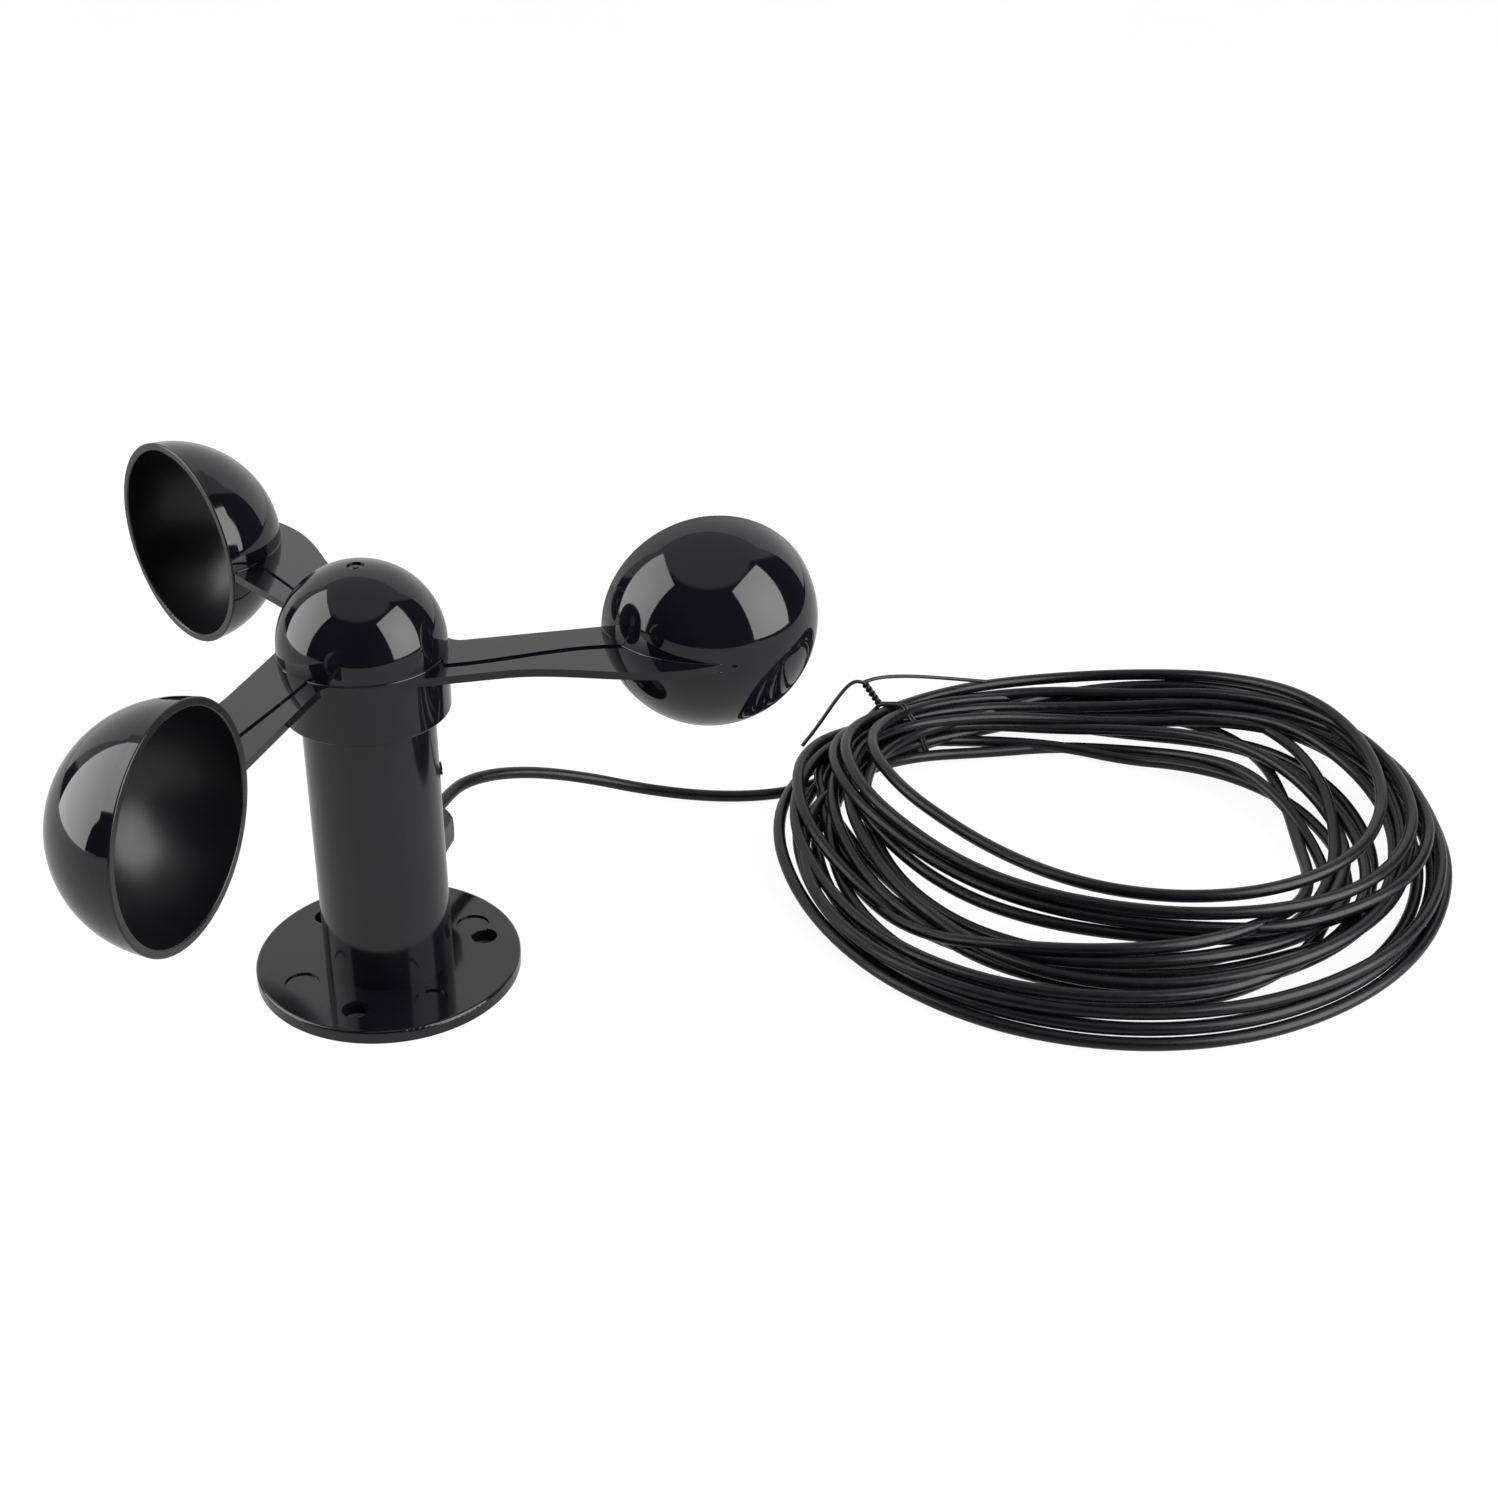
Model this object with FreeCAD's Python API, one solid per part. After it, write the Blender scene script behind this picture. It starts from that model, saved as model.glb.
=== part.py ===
import FreeCAD, Part

import math
import os

# Three-cup anemometer: a cup rotor on a tubular body with a round mounting flange,
# a side cable gland and a long free cable wound into a tied coil.
# Units are millimetres, +Z is up. The origin is the centre of the flange's underside,
# on the rotor axis. Azimuths are degrees from +X towards +Y.

# Mounting flange
FLANGE_R = 32.5
FLANGE_T = 3.5
FLANGE_TOP_ROUND = 0.8
FLANGE_BOTTOM_ROUND = 0.3
MOUNT_CIRCLE_R = 24.0
MOUNT_HOLE_R = 3.25
MOUNT_AZIMUTH = 5.0
MARK_CIRCLE_R = 23.2
MARK_R = 4.2
MARK_DEPTH = 0.45
MARK_AZIMUTH = 20.0
SPIGOT_R = 11.6
SPIGOT_BORE_R = 7.4
SPIGOT_TOP_Z = 6.5

# Bottom cover under the flange
RECESS_R = 11.4
RECESS_DEPTH = 2.4
COVER_R = 11.2
COVER_Z = 0.2
COVER_T = 1.6
COVER_SCREW_CIRCLE_R = 9.0
COVER_SCREW_AZIMUTH = 65.0
COVER_SCREW_TOP_Z = 6.0
FLANGE_SCREW_CIRCLE_R = 13.9
FLANGE_SCREW_AZIMUTH = 35.0
FLANGE_SCREW_TOP_Z = 10.5

# Body tube
TUBE_FOOT_R = 15.7
TUBE_TOP_R = 15.45
TUBE_TOP_Z = 79.0
TUBE_BORE_R = 13.2
FOOT_BORE_R = 11.7
FOOT_BORE_TOP_Z = 12.0

# Cable and its gland
GLAND_AZIMUTH = 65.0
GLAND_Z = 22.0
GLAND_THREAD_R = 6.0
GLAND_BOSS_R = 8.6
GLAND_BOSS_INNER_X = 11.0
GLAND_BOSS_FACE_X = 17.2
GLAND_HEX = 15.0
GLAND_CAP_END_X = 34.0
CABLE_R = 1.65
CABLE_START_X = 31.0
TAIL_END_X = 6.5
WIRE_R = 0.6
WIRE_SPREAD = 2.6

# Bearing housing, bearings and shaft
HOUSING_R = 13.15
HOUSING_BOTTOM_Z = 51.5
HOUSING_FLANGE_R = 15.0
HOUSING_FLANGE_T = 2.0
BEARING_R = 6.5
BEARING_W = 5.0
LOWER_BEARING_Z = 55.0
UPPER_BEARING_Z = 73.5
OUTER_RACE_BORE_R = 5.2
INNER_RACE_R = 3.3
BALL_CIRCLE_R = 4.25
BALL_R = 1.1
BALL_COUNT = 7
BALL_PLAY = 0.05
SHAFT_R = 2.0
SHAFT_BOTTOM_Z = 45.8
SHAFT_TOP_Z = 93.6
HOUSING_SCREW_AZIMUTH = 4.0
HOUSING_SCREW_Z = 53.9

# Speed sensor under the bearings
CARRIER_R = 6.0
CARRIER_H = 4.0
MAGNET_R = 1.5
MAGNET_H = 2.0
MAGNET_CIRCLE_R = 4.0
BOARD_R = 12.4
BOARD_T = 1.6
BOARD_TOP_Z = 42.0
STANDOFF_CIRCLE_R = 9.8
STANDOFF_AZIMUTH = 65.0

# Rotor hub
HUB_R = 19.35
SKIRT_BORE_R = 17.3
SKIRT_BOTTOM_Z = 73.0
DECK_BOTTOM_Z = 83.2
BOSS_R = 6.0
BOSS_BOTTOM_Z = 81.9
DOME_R = 19.46
DOME_CENTRE_Z = 89.5
DOME_WALL = 1.8
ARM_SCREW_CIRCLE_R = 12.0
ARM_SCREW_SPREAD = 28.0

# Arms: u runs outwards along the arm, v towards the open side of its cup
ARM_COUNT = 3
ARM_BOTTOM_Z = 86.1
ARM_T = 1.95
RIB_H = 0.5
ARM_ROOT_R = 19.4
ARM_ROOT_BORE_R = 6.2
ARM_ROOT_AZIMUTH = -24.0
ARM_OPEN_EDGE_V = -0.4
ARM_CLOSED_EDGE_V = -18.0
ARM_FILLET_R = 4.0

# Cups
CUP_CIRCLE_R = 81.3
CUP_Z = 87.7
CUP_R = 25.9
CUP_WALL = 1.9
CUP_LIP_R = 26.0
CUP_LIP_W = 3.0
CUP_EDGE_ROUND = 0.4

# Free cable: from the gland to the coil
CABLE_ROUTE = [
    (13.10, 28.10, 22.00),
    (20.70, 44.39, 21.60),
    (30.00, 53.20, 19.80),
    (44.00, 60.60, 15.40),
    (61.00, 65.40, 8.90),
    (78.00, 64.90, 3.30),
    (94.50, 60.00, 1.65),
    (110.00, 56.60, 1.65),
    (124.00, 57.80, 1.65),
]

# Coil: a loose ring lying on the floor, as semi-axes and the azimuth of the longer one
COIL_CENTRE = (198.0, 7.0)
COIL_OUTER = (96.0, 92.0, 170.0)
COIL_INNER = (64.0, 43.0, 128.0)
COIL_H = 20.0
COIL_EDGE_ROUND = 6.0

# Wire tie that gathers the bundle, and the stripped leads at the cable's far end
TIE_AZIMUTH = 125.0
TIE_MIDDLE = 78.5
TIE_W = 22.0
TIE_T = 1.2
TIE_STEM_H = 4.0
WAIST_R = 24.0
LEAD_R = 0.65
LEAD_L = 24.0
LEAD_AZIMUTH = 218.0
LEAD_MIDDLE = 56.5

X = FreeCAD.Vector(1, 0, 0)
Y = FreeCAD.Vector(0, 1, 0)
Z = FreeCAD.Vector(0, 0, 1)
ORIGIN = FreeCAD.Vector(0, 0, 0)
THIRDS = (0.0, 120.0, 240.0)


def vec(x, y, z=0.0):
    return FreeCAD.Vector(x, y, z)


def polar(radius, azimuth, z=0.0):
    """Point at a radius and azimuth about the rotor axis."""
    angle = math.radians(azimuth)
    return vec(radius * math.cos(angle), radius * math.sin(angle), z)


def disc(radius, z0, z1, at=ORIGIN):
    """Upright cylinder between two heights."""
    return Part.makeCylinder(radius, z1 - z0, vec(at.x, at.y, z0), Z)


def ring(outer, inner, z0, z1):
    """Upright ring between two heights."""
    return disc(outer, z0, z1).cut(disc(inner, z0 - 1, z1 + 1))


def taper(r0, r1, z0, z1, at=ORIGIN):
    """Upright cone frustum between two heights."""
    return Part.makeCone(r0, r1, z1 - z0, vec(at.x, at.y, z0), Z)


def rod(radius, x0, x1):
    """Cylinder along +X."""
    return Part.makeCylinder(radius, x1 - x0, vec(x0, 0, 0), X)


def sleeve(outer, inner, x0, x1):
    """Ring along +X."""
    return rod(outer, x0, x1).cut(rod(inner, x0 - 1, x1 + 1))


def hexagon(flats, x0, x1):
    """Hexagonal prism along +X, measured across its flats."""
    corner = flats / math.sqrt(3)
    points = [vec(x0, corner * math.cos(math.radians(a)), corner * math.sin(math.radians(a)))
              for a in range(30, 391, 60)]
    return Part.Face(Part.makePolygon(points)).extrude(vec(x1 - x0, 0, 0))


def turned(shape, azimuth):
    """Copy of a shape turned about the rotor axis."""
    copy = shape.copy()
    copy.rotate(ORIGIN, Z, azimuth)
    return copy


def outward(shape, azimuth, z):
    """A shape built along +X, aimed at an azimuth and lifted to a height."""
    copy = turned(shape, azimuth)
    copy.translate(vec(0, 0, z))
    return copy


def fused(shapes):
    """All the shapes as one clean solid."""
    return shapes[0].multiFuse(shapes[1:]).removeSplitter()


def group(shapes):
    """Separate identical solids kept in one node."""
    return Part.makeCompound(shapes)


def countersunk_screw(head_r, shank_r, z0, head_h, z1, at):
    """Upright screw with its flat head at the bottom."""
    return taper(head_r, shank_r, z0, z0 + head_h, at).fuse(disc(shank_r, z0 + head_h, z1, at))


def rounded_path(points):
    """Straight runs joined by tangent arcs; prints the arcs' radii."""
    points = [vec(*p) for p in points]
    edges = []
    radii = []
    last = points[0]
    for before, corner, after in zip(points, points[1:], points[2:]):
        back = (before - corner).normalize()
        ahead = (after - corner).normalize()
        half_turn = (math.pi - back.getAngle(ahead)) / 2
        reach = 0.45 * min(before.distanceToPoint(corner), corner.distanceToPoint(after))
        radius = reach / math.tan(half_turn)
        middle = corner + (back + ahead).normalize() * (radius / math.cos(half_turn) - radius)
        start = corner + back * reach
        end = corner + ahead * reach
        edges.append(Part.LineSegment(last, start).toShape())
        edges.append(Part.Arc(start, middle, end).toShape())
        radii.append(round(radius, 1))
        last = end
    edges.append(Part.LineSegment(last, points[-1]).toShape())
    print("arc radii", radii)
    return Part.Wire(edges)


def tube_along(points, radius):
    """Round solid swept along a route; prints its volume check."""
    path = rounded_path(points)
    direction = vec(*points[1]) - vec(*points[0])
    section = Part.Wire(Part.makeCircle(radius, vec(*points[0]), direction))
    shape = path.makePipeShell([section], True, False)
    print("tube length", round(path.Length, 2), "volume ratio",
          round(shape.Volume / (path.Length * math.pi * radius ** 2), 4))
    return shape


# Base

def base_flange():
    plate = disc(FLANGE_R, 0, FLANGE_T)
    plate = plate.makeFillet(FLANGE_TOP_ROUND, [e for e in plate.Edges if edge_at(e, FLANGE_T)])
    plate = plate.makeFillet(FLANGE_BOTTOM_ROUND, [e for e in plate.Edges if edge_at(e, 0.0)])
    body = plate.fuse(disc(SPIGOT_R, FLANGE_T - 1, SPIGOT_TOP_Z))
    cuts = [disc(RECESS_R, -1, RECESS_DEPTH), disc(SPIGOT_BORE_R, 0, SPIGOT_TOP_Z + 1)]
    for turn in THIRDS:
        cuts.append(disc(MOUNT_HOLE_R, -1, FLANGE_T + 1, polar(MOUNT_CIRCLE_R, MOUNT_AZIMUTH + turn)))
        at = polar(FLANGE_SCREW_CIRCLE_R, FLANGE_SCREW_AZIMUTH + turn)
        cuts.append(taper(2.5, 1.3, 0.0, 1.5, at))
        cuts.append(disc(1.3, 1.0, FLANGE_T + 1, at))
        cuts.append(disc(1.0, RECESS_DEPTH - 1, COVER_SCREW_TOP_Z,
                         polar(COVER_SCREW_CIRCLE_R, COVER_SCREW_AZIMUTH + turn)))
    for i in range(4):
        at = polar(MARK_CIRCLE_R, MARK_AZIMUTH + 90 * i)
        cuts.append(disc(MARK_R, FLANGE_T - MARK_DEPTH, FLANGE_T + 1, at))
    return body.cut(Part.makeCompound(cuts)).removeSplitter()


def edge_at(edge, z):
    """True for an edge that lies flat at a height."""
    box = edge.BoundBox
    return abs(box.ZMin - z) < 1e-4 and abs(box.ZMax - z) < 1e-4


def bottom_cover():
    cover = disc(COVER_R, COVER_Z, COVER_Z + COVER_T)
    for turn in THIRDS:
        at = polar(COVER_SCREW_CIRCLE_R, COVER_SCREW_AZIMUTH + turn)
        cover = cover.cut(disc(1.05, 0, COVER_Z + COVER_T + 1, at))
        cover = cover.cut(taper(1.85, 1.05, COVER_Z, COVER_Z + 1.0, at))
    return cover


def cover_gasket():
    gasket = ring(COVER_R, SPIGOT_BORE_R + 0.2, COVER_Z + COVER_T, RECESS_DEPTH)
    for turn in THIRDS:
        at = polar(COVER_SCREW_CIRCLE_R, COVER_SCREW_AZIMUTH + turn)
        gasket = gasket.cut(disc(1.1, 0, RECESS_DEPTH + 1, at))
    return gasket


def cover_screws():
    return group([countersunk_screw(1.8, 0.95, COVER_Z, 1.0, COVER_SCREW_TOP_Z - 0.3,
                                    polar(COVER_SCREW_CIRCLE_R, COVER_SCREW_AZIMUTH + turn))
                  for turn in THIRDS])


def flange_screws():
    return group([countersunk_screw(2.3, 1.2, 0.2, 1.3, FLANGE_SCREW_TOP_Z,
                                    polar(FLANGE_SCREW_CIRCLE_R, FLANGE_SCREW_AZIMUTH + turn))
                  for turn in THIRDS])


def body_tube():
    shell = taper(TUBE_FOOT_R, TUBE_TOP_R, FLANGE_T, TUBE_TOP_Z)
    boss = outward(rod(GLAND_BOSS_R, GLAND_BOSS_INNER_X, GLAND_BOSS_FACE_X), GLAND_AZIMUTH, GLAND_Z)
    cavity = disc(TUBE_BORE_R, FOOT_BORE_TOP_Z, TUBE_TOP_Z + 1)
    shell = shell.cut(cavity).cut(disc(FOOT_BORE_R, FLANGE_T - 1, FOOT_BORE_TOP_Z + 1))
    shell = shell.fuse(boss)
    cuts = [outward(rod(GLAND_THREAD_R, 5, GLAND_BOSS_FACE_X + 1), GLAND_AZIMUTH, GLAND_Z),
            outward(rod(1.05, 10, TUBE_FOOT_R + 1), HOUSING_SCREW_AZIMUTH, HOUSING_SCREW_Z)]
    for turn in THIRDS:
        cuts.append(disc(1.25, FLANGE_T - 1, FLANGE_SCREW_TOP_Z + 0.5,
                         polar(FLANGE_SCREW_CIRCLE_R, FLANGE_SCREW_AZIMUTH + turn)))
    return shell.cut(Part.makeCompound(cuts)).removeSplitter()


# Cable gland and the cable inside the body

def at_gland(shape):
    return outward(shape, GLAND_AZIMUTH, GLAND_Z)


def gland_body():
    shape = fused([rod(GLAND_THREAD_R - 0.05, GLAND_BOSS_INNER_X, 18.3),
                   hexagon(GLAND_HEX, 18.2, 22.0),
                   rod(5.4, 21.9, 27.5)])
    shape = shape.cut(rod(2.2, 10, 21)).cut(rod(4.0, 20.2, 28))
    return at_gland(shape)


def gland_washer():
    return at_gland(sleeve(7.6, GLAND_THREAD_R, GLAND_BOSS_FACE_X, 18.2))


def gland_seal():
    shape = rod(3.95, 20.2, 27.5).fuse(Part.makeCone(3.95, 2.9, 2.6, vec(27.5, 0, 0), X))
    return at_gland(shape.cut(rod(CABLE_R + 0.05, 19, 31)))


def gland_cap():
    dome = Part.makeSphere(11.6, vec(GLAND_CAP_END_X - 11.0, 0, 0))
    shape = hexagon(GLAND_HEX, 22.4, GLAND_CAP_END_X).common(rod(8.2, 22.4, GLAND_CAP_END_X)).common(dome)
    shape = shape.cut(rod(5.5, 22, 28.0)).cut(Part.makeCone(5.5, 3.2, 2.5, vec(28.0, 0, 0), X))
    return at_gland(shape.cut(rod(CABLE_R + 0.45, 29, GLAND_CAP_END_X + 1)))


def cable_tail():
    return at_gland(rod(CABLE_R, TAIL_END_X, CABLE_START_X))


def tail_tie():
    band = sleeve(CABLE_R + 0.9, CABLE_R, TAIL_END_X + 1.0, TAIL_END_X + 3.5)
    lock = Part.makeBox(3.6, 3.2, 2.4, vec(TAIL_END_X + 0.4, -1.6, CABLE_R + 0.5))
    return at_gland(band.fuse(lock).cut(rod(CABLE_R, 5, 12)).removeSplitter())


def inner_wire(index):
    """One of three insulated wires from the cable's inner end up to the terminal block."""
    side = WIRE_SPREAD * (index - 1)
    lift = 0.5 - abs(index - 1)
    route = [(TAIL_END_X, side * 0.35, lift), (2.4, side * 0.5, lift + 0.3), (-1.4, side * 0.7, lift + 2.6)]
    route = [tuple(at_gland(Part.Vertex(vec(*p))).Point) for p in route]
    route += [(-side, 0.0, terminal_bottom() - 3.6), (-side, 0.0, terminal_bottom())]
    return tube_along(route, WIRE_R)


# Bearing housing and bearings

def housing_top_z():
    return TUBE_TOP_Z + HOUSING_FLANGE_T


def bearing_housing():
    body = disc(HOUSING_R, HOUSING_BOTTOM_Z, TUBE_TOP_Z)
    body = body.fuse(disc(HOUSING_FLANGE_R, TUBE_TOP_Z, housing_top_z()))
    cuts = [disc(BEARING_R, HOUSING_BOTTOM_Z - 1, LOWER_BEARING_Z + BEARING_W),
            disc(OUTER_RACE_BORE_R + 0.1, HOUSING_BOTTOM_Z, housing_top_z()),
            disc(BEARING_R, UPPER_BEARING_Z, housing_top_z() + 1),
            disc(BEARING_R + 0.5, LOWER_BEARING_Z - 1.0, LOWER_BEARING_Z - 0.1),
            disc(BEARING_R + 0.5, UPPER_BEARING_Z + BEARING_W + 0.1, UPPER_BEARING_Z + BEARING_W + 1.0),
            outward(rod(1.0, 9.3, HOUSING_R + 1), HOUSING_SCREW_AZIMUTH, HOUSING_SCREW_Z)]
    for turn in THIRDS:
        cuts.append(disc(1.25, HOUSING_BOTTOM_Z - 1, HOUSING_BOTTOM_Z + 4.0,
                         polar(STANDOFF_CIRCLE_R, STANDOFF_AZIMUTH + turn)))
    return body.cut(Part.makeCompound(cuts)).removeSplitter()


def housing_screw():
    shape = fused([rod(0.95, 9.6, 15.6), rod(1.6, 15.56, 16.1)])
    slot = Part.makeBox(1.0, 4.0, 0.5, vec(15.85, -2.0, -0.25))
    return outward(shape.cut(slot), HOUSING_SCREW_AZIMUTH, HOUSING_SCREW_Z)


def retaining_ring(z0):
    """Internal snap ring with its gap."""
    shape = ring(BEARING_R + 0.45, BEARING_R - 1.0, z0, z0 + 0.8)
    return shape.cut(Part.makeBox(5.0, 3.0, 2.0, vec(4.5, -1.5, z0 - 0.5)))


def ball_track(z_mid):
    return Part.makeTorus(BALL_CIRCLE_R, BALL_R + BALL_PLAY, vec(0, 0, z_mid), Z)


def outer_race(z0):
    shape = ring(BEARING_R - 0.02, OUTER_RACE_BORE_R, z0, z0 + BEARING_W)
    return shape.cut(ball_track(z0 + BEARING_W / 2))


def inner_race(z0):
    shape = ring(INNER_RACE_R, SHAFT_R + 0.02, z0, z0 + BEARING_W)
    return shape.cut(ball_track(z0 + BEARING_W / 2))


def ball_centres(z0):
    return [polar(BALL_CIRCLE_R, 360.0 * i / BALL_COUNT, z0 + BEARING_W / 2) for i in range(BALL_COUNT)]


def balls(z0):
    return group([Part.makeSphere(BALL_R, centre) for centre in ball_centres(z0)])


def cage(z0):
    z_mid = z0 + BEARING_W / 2
    shape = ring(BALL_CIRCLE_R + 0.55, BALL_CIRCLE_R - 0.55, z_mid - 0.4, z_mid + 1.9)
    pockets = Part.makeCompound([Part.makeSphere(BALL_R + 0.05, centre) for centre in ball_centres(z0)])
    return shape.cut(pockets)


def dust_shield():
    z0 = UPPER_BEARING_Z + BEARING_W + 1.1
    return ring(BEARING_R - 0.02, INNER_RACE_R + 0.35, z0, z0 + 0.8)


# Speed sensor

def terminal_bottom():
    return BOARD_TOP_Z - BOARD_T - 8.0


def board_standoffs():
    bore = BOARD_TOP_Z + 4.0
    posts = []
    for turn in THIRDS:
        at = polar(STANDOFF_CIRCLE_R, STANDOFF_AZIMUTH + turn)
        post = disc(2.4, BOARD_TOP_Z, HOUSING_BOTTOM_Z, at)
        post = post.fuse(disc(1.2, HOUSING_BOTTOM_Z, HOUSING_BOTTOM_Z + 3.5, at))
        posts.append(post.cut(disc(1.05, BOARD_TOP_Z - 1, bore, at)))
    return group(posts)


def board_screws():
    bottom = BOARD_TOP_Z - BOARD_T
    screws = []
    for turn in THIRDS:
        at = polar(STANDOFF_CIRCLE_R, STANDOFF_AZIMUTH + turn)
        screws.append(disc(1.9, bottom - 1.3, bottom, at).fuse(disc(1.0, bottom, BOARD_TOP_Z + 3.5, at)))
    return group(screws)


def sensor_board():
    board = disc(BOARD_R, BOARD_TOP_Z - BOARD_T, BOARD_TOP_Z)
    for turn in THIRDS:
        board = board.cut(disc(1.1, 0, BOARD_TOP_Z + 1, polar(STANDOFF_CIRCLE_R, STANDOFF_AZIMUTH + turn)))
    return board


def hall_sensor():
    package = Part.makeBox(3.0, 4.0, 1.4, vec(MAGNET_CIRCLE_R - 1.5, -2.0, 0))
    return outward(package, MOUNT_AZIMUTH, BOARD_TOP_Z)


def board_chips():
    bottom = BOARD_TOP_Z - BOARD_T
    return group([outward(Part.makeBox(3.0, 4.4, 1.3, vec(7.2, -2.2, -1.3)), MOUNT_AZIMUTH + turn, bottom)
                  for turn in THIRDS])


def board_capacitors():
    return group([disc(1.6, BOARD_TOP_Z, BOARD_TOP_Z + 3.0, polar(9.0, MOUNT_AZIMUTH + turn))
                  for turn in THIRDS[1:]])


def terminal_block():
    block = Part.makeBox(9.0, 6.6, 8.0, vec(-4.5, -3.3, terminal_bottom()))
    for i in range(ARM_COUNT):
        at = vec(WIRE_SPREAD * (i - 1), 3.4, terminal_bottom() + 5.0)
        block = block.cut(Part.makeCylinder(0.9, 3.0, at, -Y))
    return block


# Rotor: shaft, hub and what turns inside

def rotor_shaft():
    shape = disc(SHAFT_R, SHAFT_BOTTOM_Z, SHAFT_TOP_Z - 0.4)
    shape = shape.fuse(taper(SHAFT_R, SHAFT_R - 0.4, SHAFT_TOP_Z - 0.4, SHAFT_TOP_Z))
    groove = ring(SHAFT_R + 1, SHAFT_R - 0.3, LOWER_BEARING_Z - 0.9, LOWER_BEARING_Z - 0.1)
    return shape.cut(groove).removeSplitter()


def shaft_clip():
    shape = ring(3.2, SHAFT_R - 0.25, LOWER_BEARING_Z - 0.85, LOWER_BEARING_Z - 0.15)
    return shape.cut(Part.makeBox(4.0, 2.4, 2.0, vec(1.0, -1.2, LOWER_BEARING_Z - 1.5)))


def bearing_spacer():
    return ring(3.1, SHAFT_R + 0.05, LOWER_BEARING_Z + BEARING_W, UPPER_BEARING_Z)


def hub_spacer():
    return ring(3.1, SHAFT_R + 0.05, UPPER_BEARING_Z + BEARING_W, BOSS_BOTTOM_Z)


def magnet_carrier():
    shape = ring(CARRIER_R, SHAFT_R, SHAFT_BOTTOM_Z, SHAFT_BOTTOM_Z + CARRIER_H)
    for at in magnet_places():
        shape = shape.cut(disc(MAGNET_R + 0.02, 0, SHAFT_BOTTOM_Z + MAGNET_H, at))
    return shape


def magnet_places():
    return [polar(MAGNET_CIRCLE_R, MOUNT_AZIMUTH + 90 * i) for i in range(4)]


def sensor_magnets():
    return group([disc(MAGNET_R, SHAFT_BOTTOM_Z, SHAFT_BOTTOM_Z + MAGNET_H, at) for at in magnet_places()])


def arm_screw_places():
    return [polar(ARM_SCREW_CIRCLE_R, ARM_ROOT_AZIMUTH + turn + side * ARM_SCREW_SPREAD)
            for turn in THIRDS for side in (-1, 1)]


def arm_top_z():
    return ARM_BOTTOM_Z + ARM_T


def rotor_hub():
    skirt = disc(HUB_R, SKIRT_BOTTOM_Z, ARM_BOTTOM_Z)
    skirt = skirt.makeFillet(0.5, [e for e in skirt.Edges if edge_at(e, SKIRT_BOTTOM_Z)])
    shape = skirt.cut(disc(SKIRT_BORE_R, SKIRT_BOTTOM_Z - 1, DECK_BOTTOM_Z))
    shape = shape.fuse(disc(BOSS_R, BOSS_BOTTOM_Z, arm_top_z())).cut(disc(SHAFT_R + 0.02, 0, 100))
    holes = [disc(1.0, DECK_BOTTOM_Z - 1, ARM_BOTTOM_Z + 1, at) for at in arm_screw_places()]
    return shape.cut(Part.makeCompound(holes)).removeSplitter()


def hub_washer():
    return ring(4.4, SHAFT_R + 0.15, arm_top_z(), arm_top_z() + 0.8)


def hub_nut():
    nut = hexagon(7.0, 0, 3.2).cut(rod(SHAFT_R + 0.02, -1, 4))
    nut.rotate(ORIGIN, Y, -90)
    nut.translate(vec(0, 0, arm_top_z() + 0.8))
    return nut


def hub_cap():
    """Hollow dome that closes the hub, with the small moulding gate at its top."""
    bottom = arm_top_z()
    outer = Part.makeSphere(DOME_R, vec(0, 0, DOME_CENTRE_Z))
    inner = Part.makeSphere(DOME_R - DOME_WALL, vec(0, 0, DOME_CENTRE_Z))
    shell = outer.cut(inner).cut(disc(DOME_R + 1, DOME_CENTRE_Z - DOME_R - 1, bottom))
    top = DOME_CENTRE_Z + DOME_R
    shell = shell.cut(disc(2.0, top - 0.55, top + 1))
    shell = shell.fuse(disc(0.7, top - 0.6, top - 0.3))
    return shell.removeSplitter()


# Arms and cups

def flat_face(edges):
    return Part.Face(Part.Wire(edges))


def line(a, b):
    return Part.LineSegment(vec(*a), vec(*b)).toShape()


def arc(a, b, c):
    return Part.Arc(vec(*a), vec(*b), vec(*c)).toShape()


def spline(points):
    curve = Part.BSplineCurve()
    curve.interpolate([vec(*p) for p in points])
    return curve.toShape()


def arm_plate():
    """The flat blade: straight on the open side, swept round the cup as a fin on the other."""
    fillet_v = ARM_OPEN_EDGE_V + ARM_FILLET_R
    reach = ARM_ROOT_R + ARM_FILLET_R
    fillet_u = math.sqrt(reach ** 2 - fillet_v ** 2)
    on_hub = (fillet_u * ARM_ROOT_R / reach, fillet_v * ARM_ROOT_R / reach)
    on_edge = (fillet_u, ARM_OPEN_EDGE_V)
    bisector = vec(on_hub[0] + on_edge[0] - 2 * fillet_u, on_hub[1] + on_edge[1] - 2 * fillet_v).normalize()
    middle = vec(fillet_u, fillet_v) + bisector * ARM_FILLET_R
    closed_side = [(30.0, ARM_CLOSED_EDGE_V), (42.0, -20.0), (54.0, -23.9), (64.0, -26.3),
                   (72.0, -26.6), (79.0, -25.3)]
    root = (7.0, ARM_CLOSED_EDGE_V)
    inner = (14.0, 1.0)
    inside_cup = (62.0, ARM_OPEN_EDGE_V)
    edges = [Part.Arc(vec(*on_hub), middle, vec(*on_edge)).toShape(),
             line(on_edge, inside_cup), line(inside_cup, closed_side[-1]),
             spline(closed_side), line(closed_side[0], root), line(root, inner), line(inner, on_hub)]
    return flat_face(Part.__sortEdges__(edges)).extrude(vec(0, 0, ARM_T))


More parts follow.
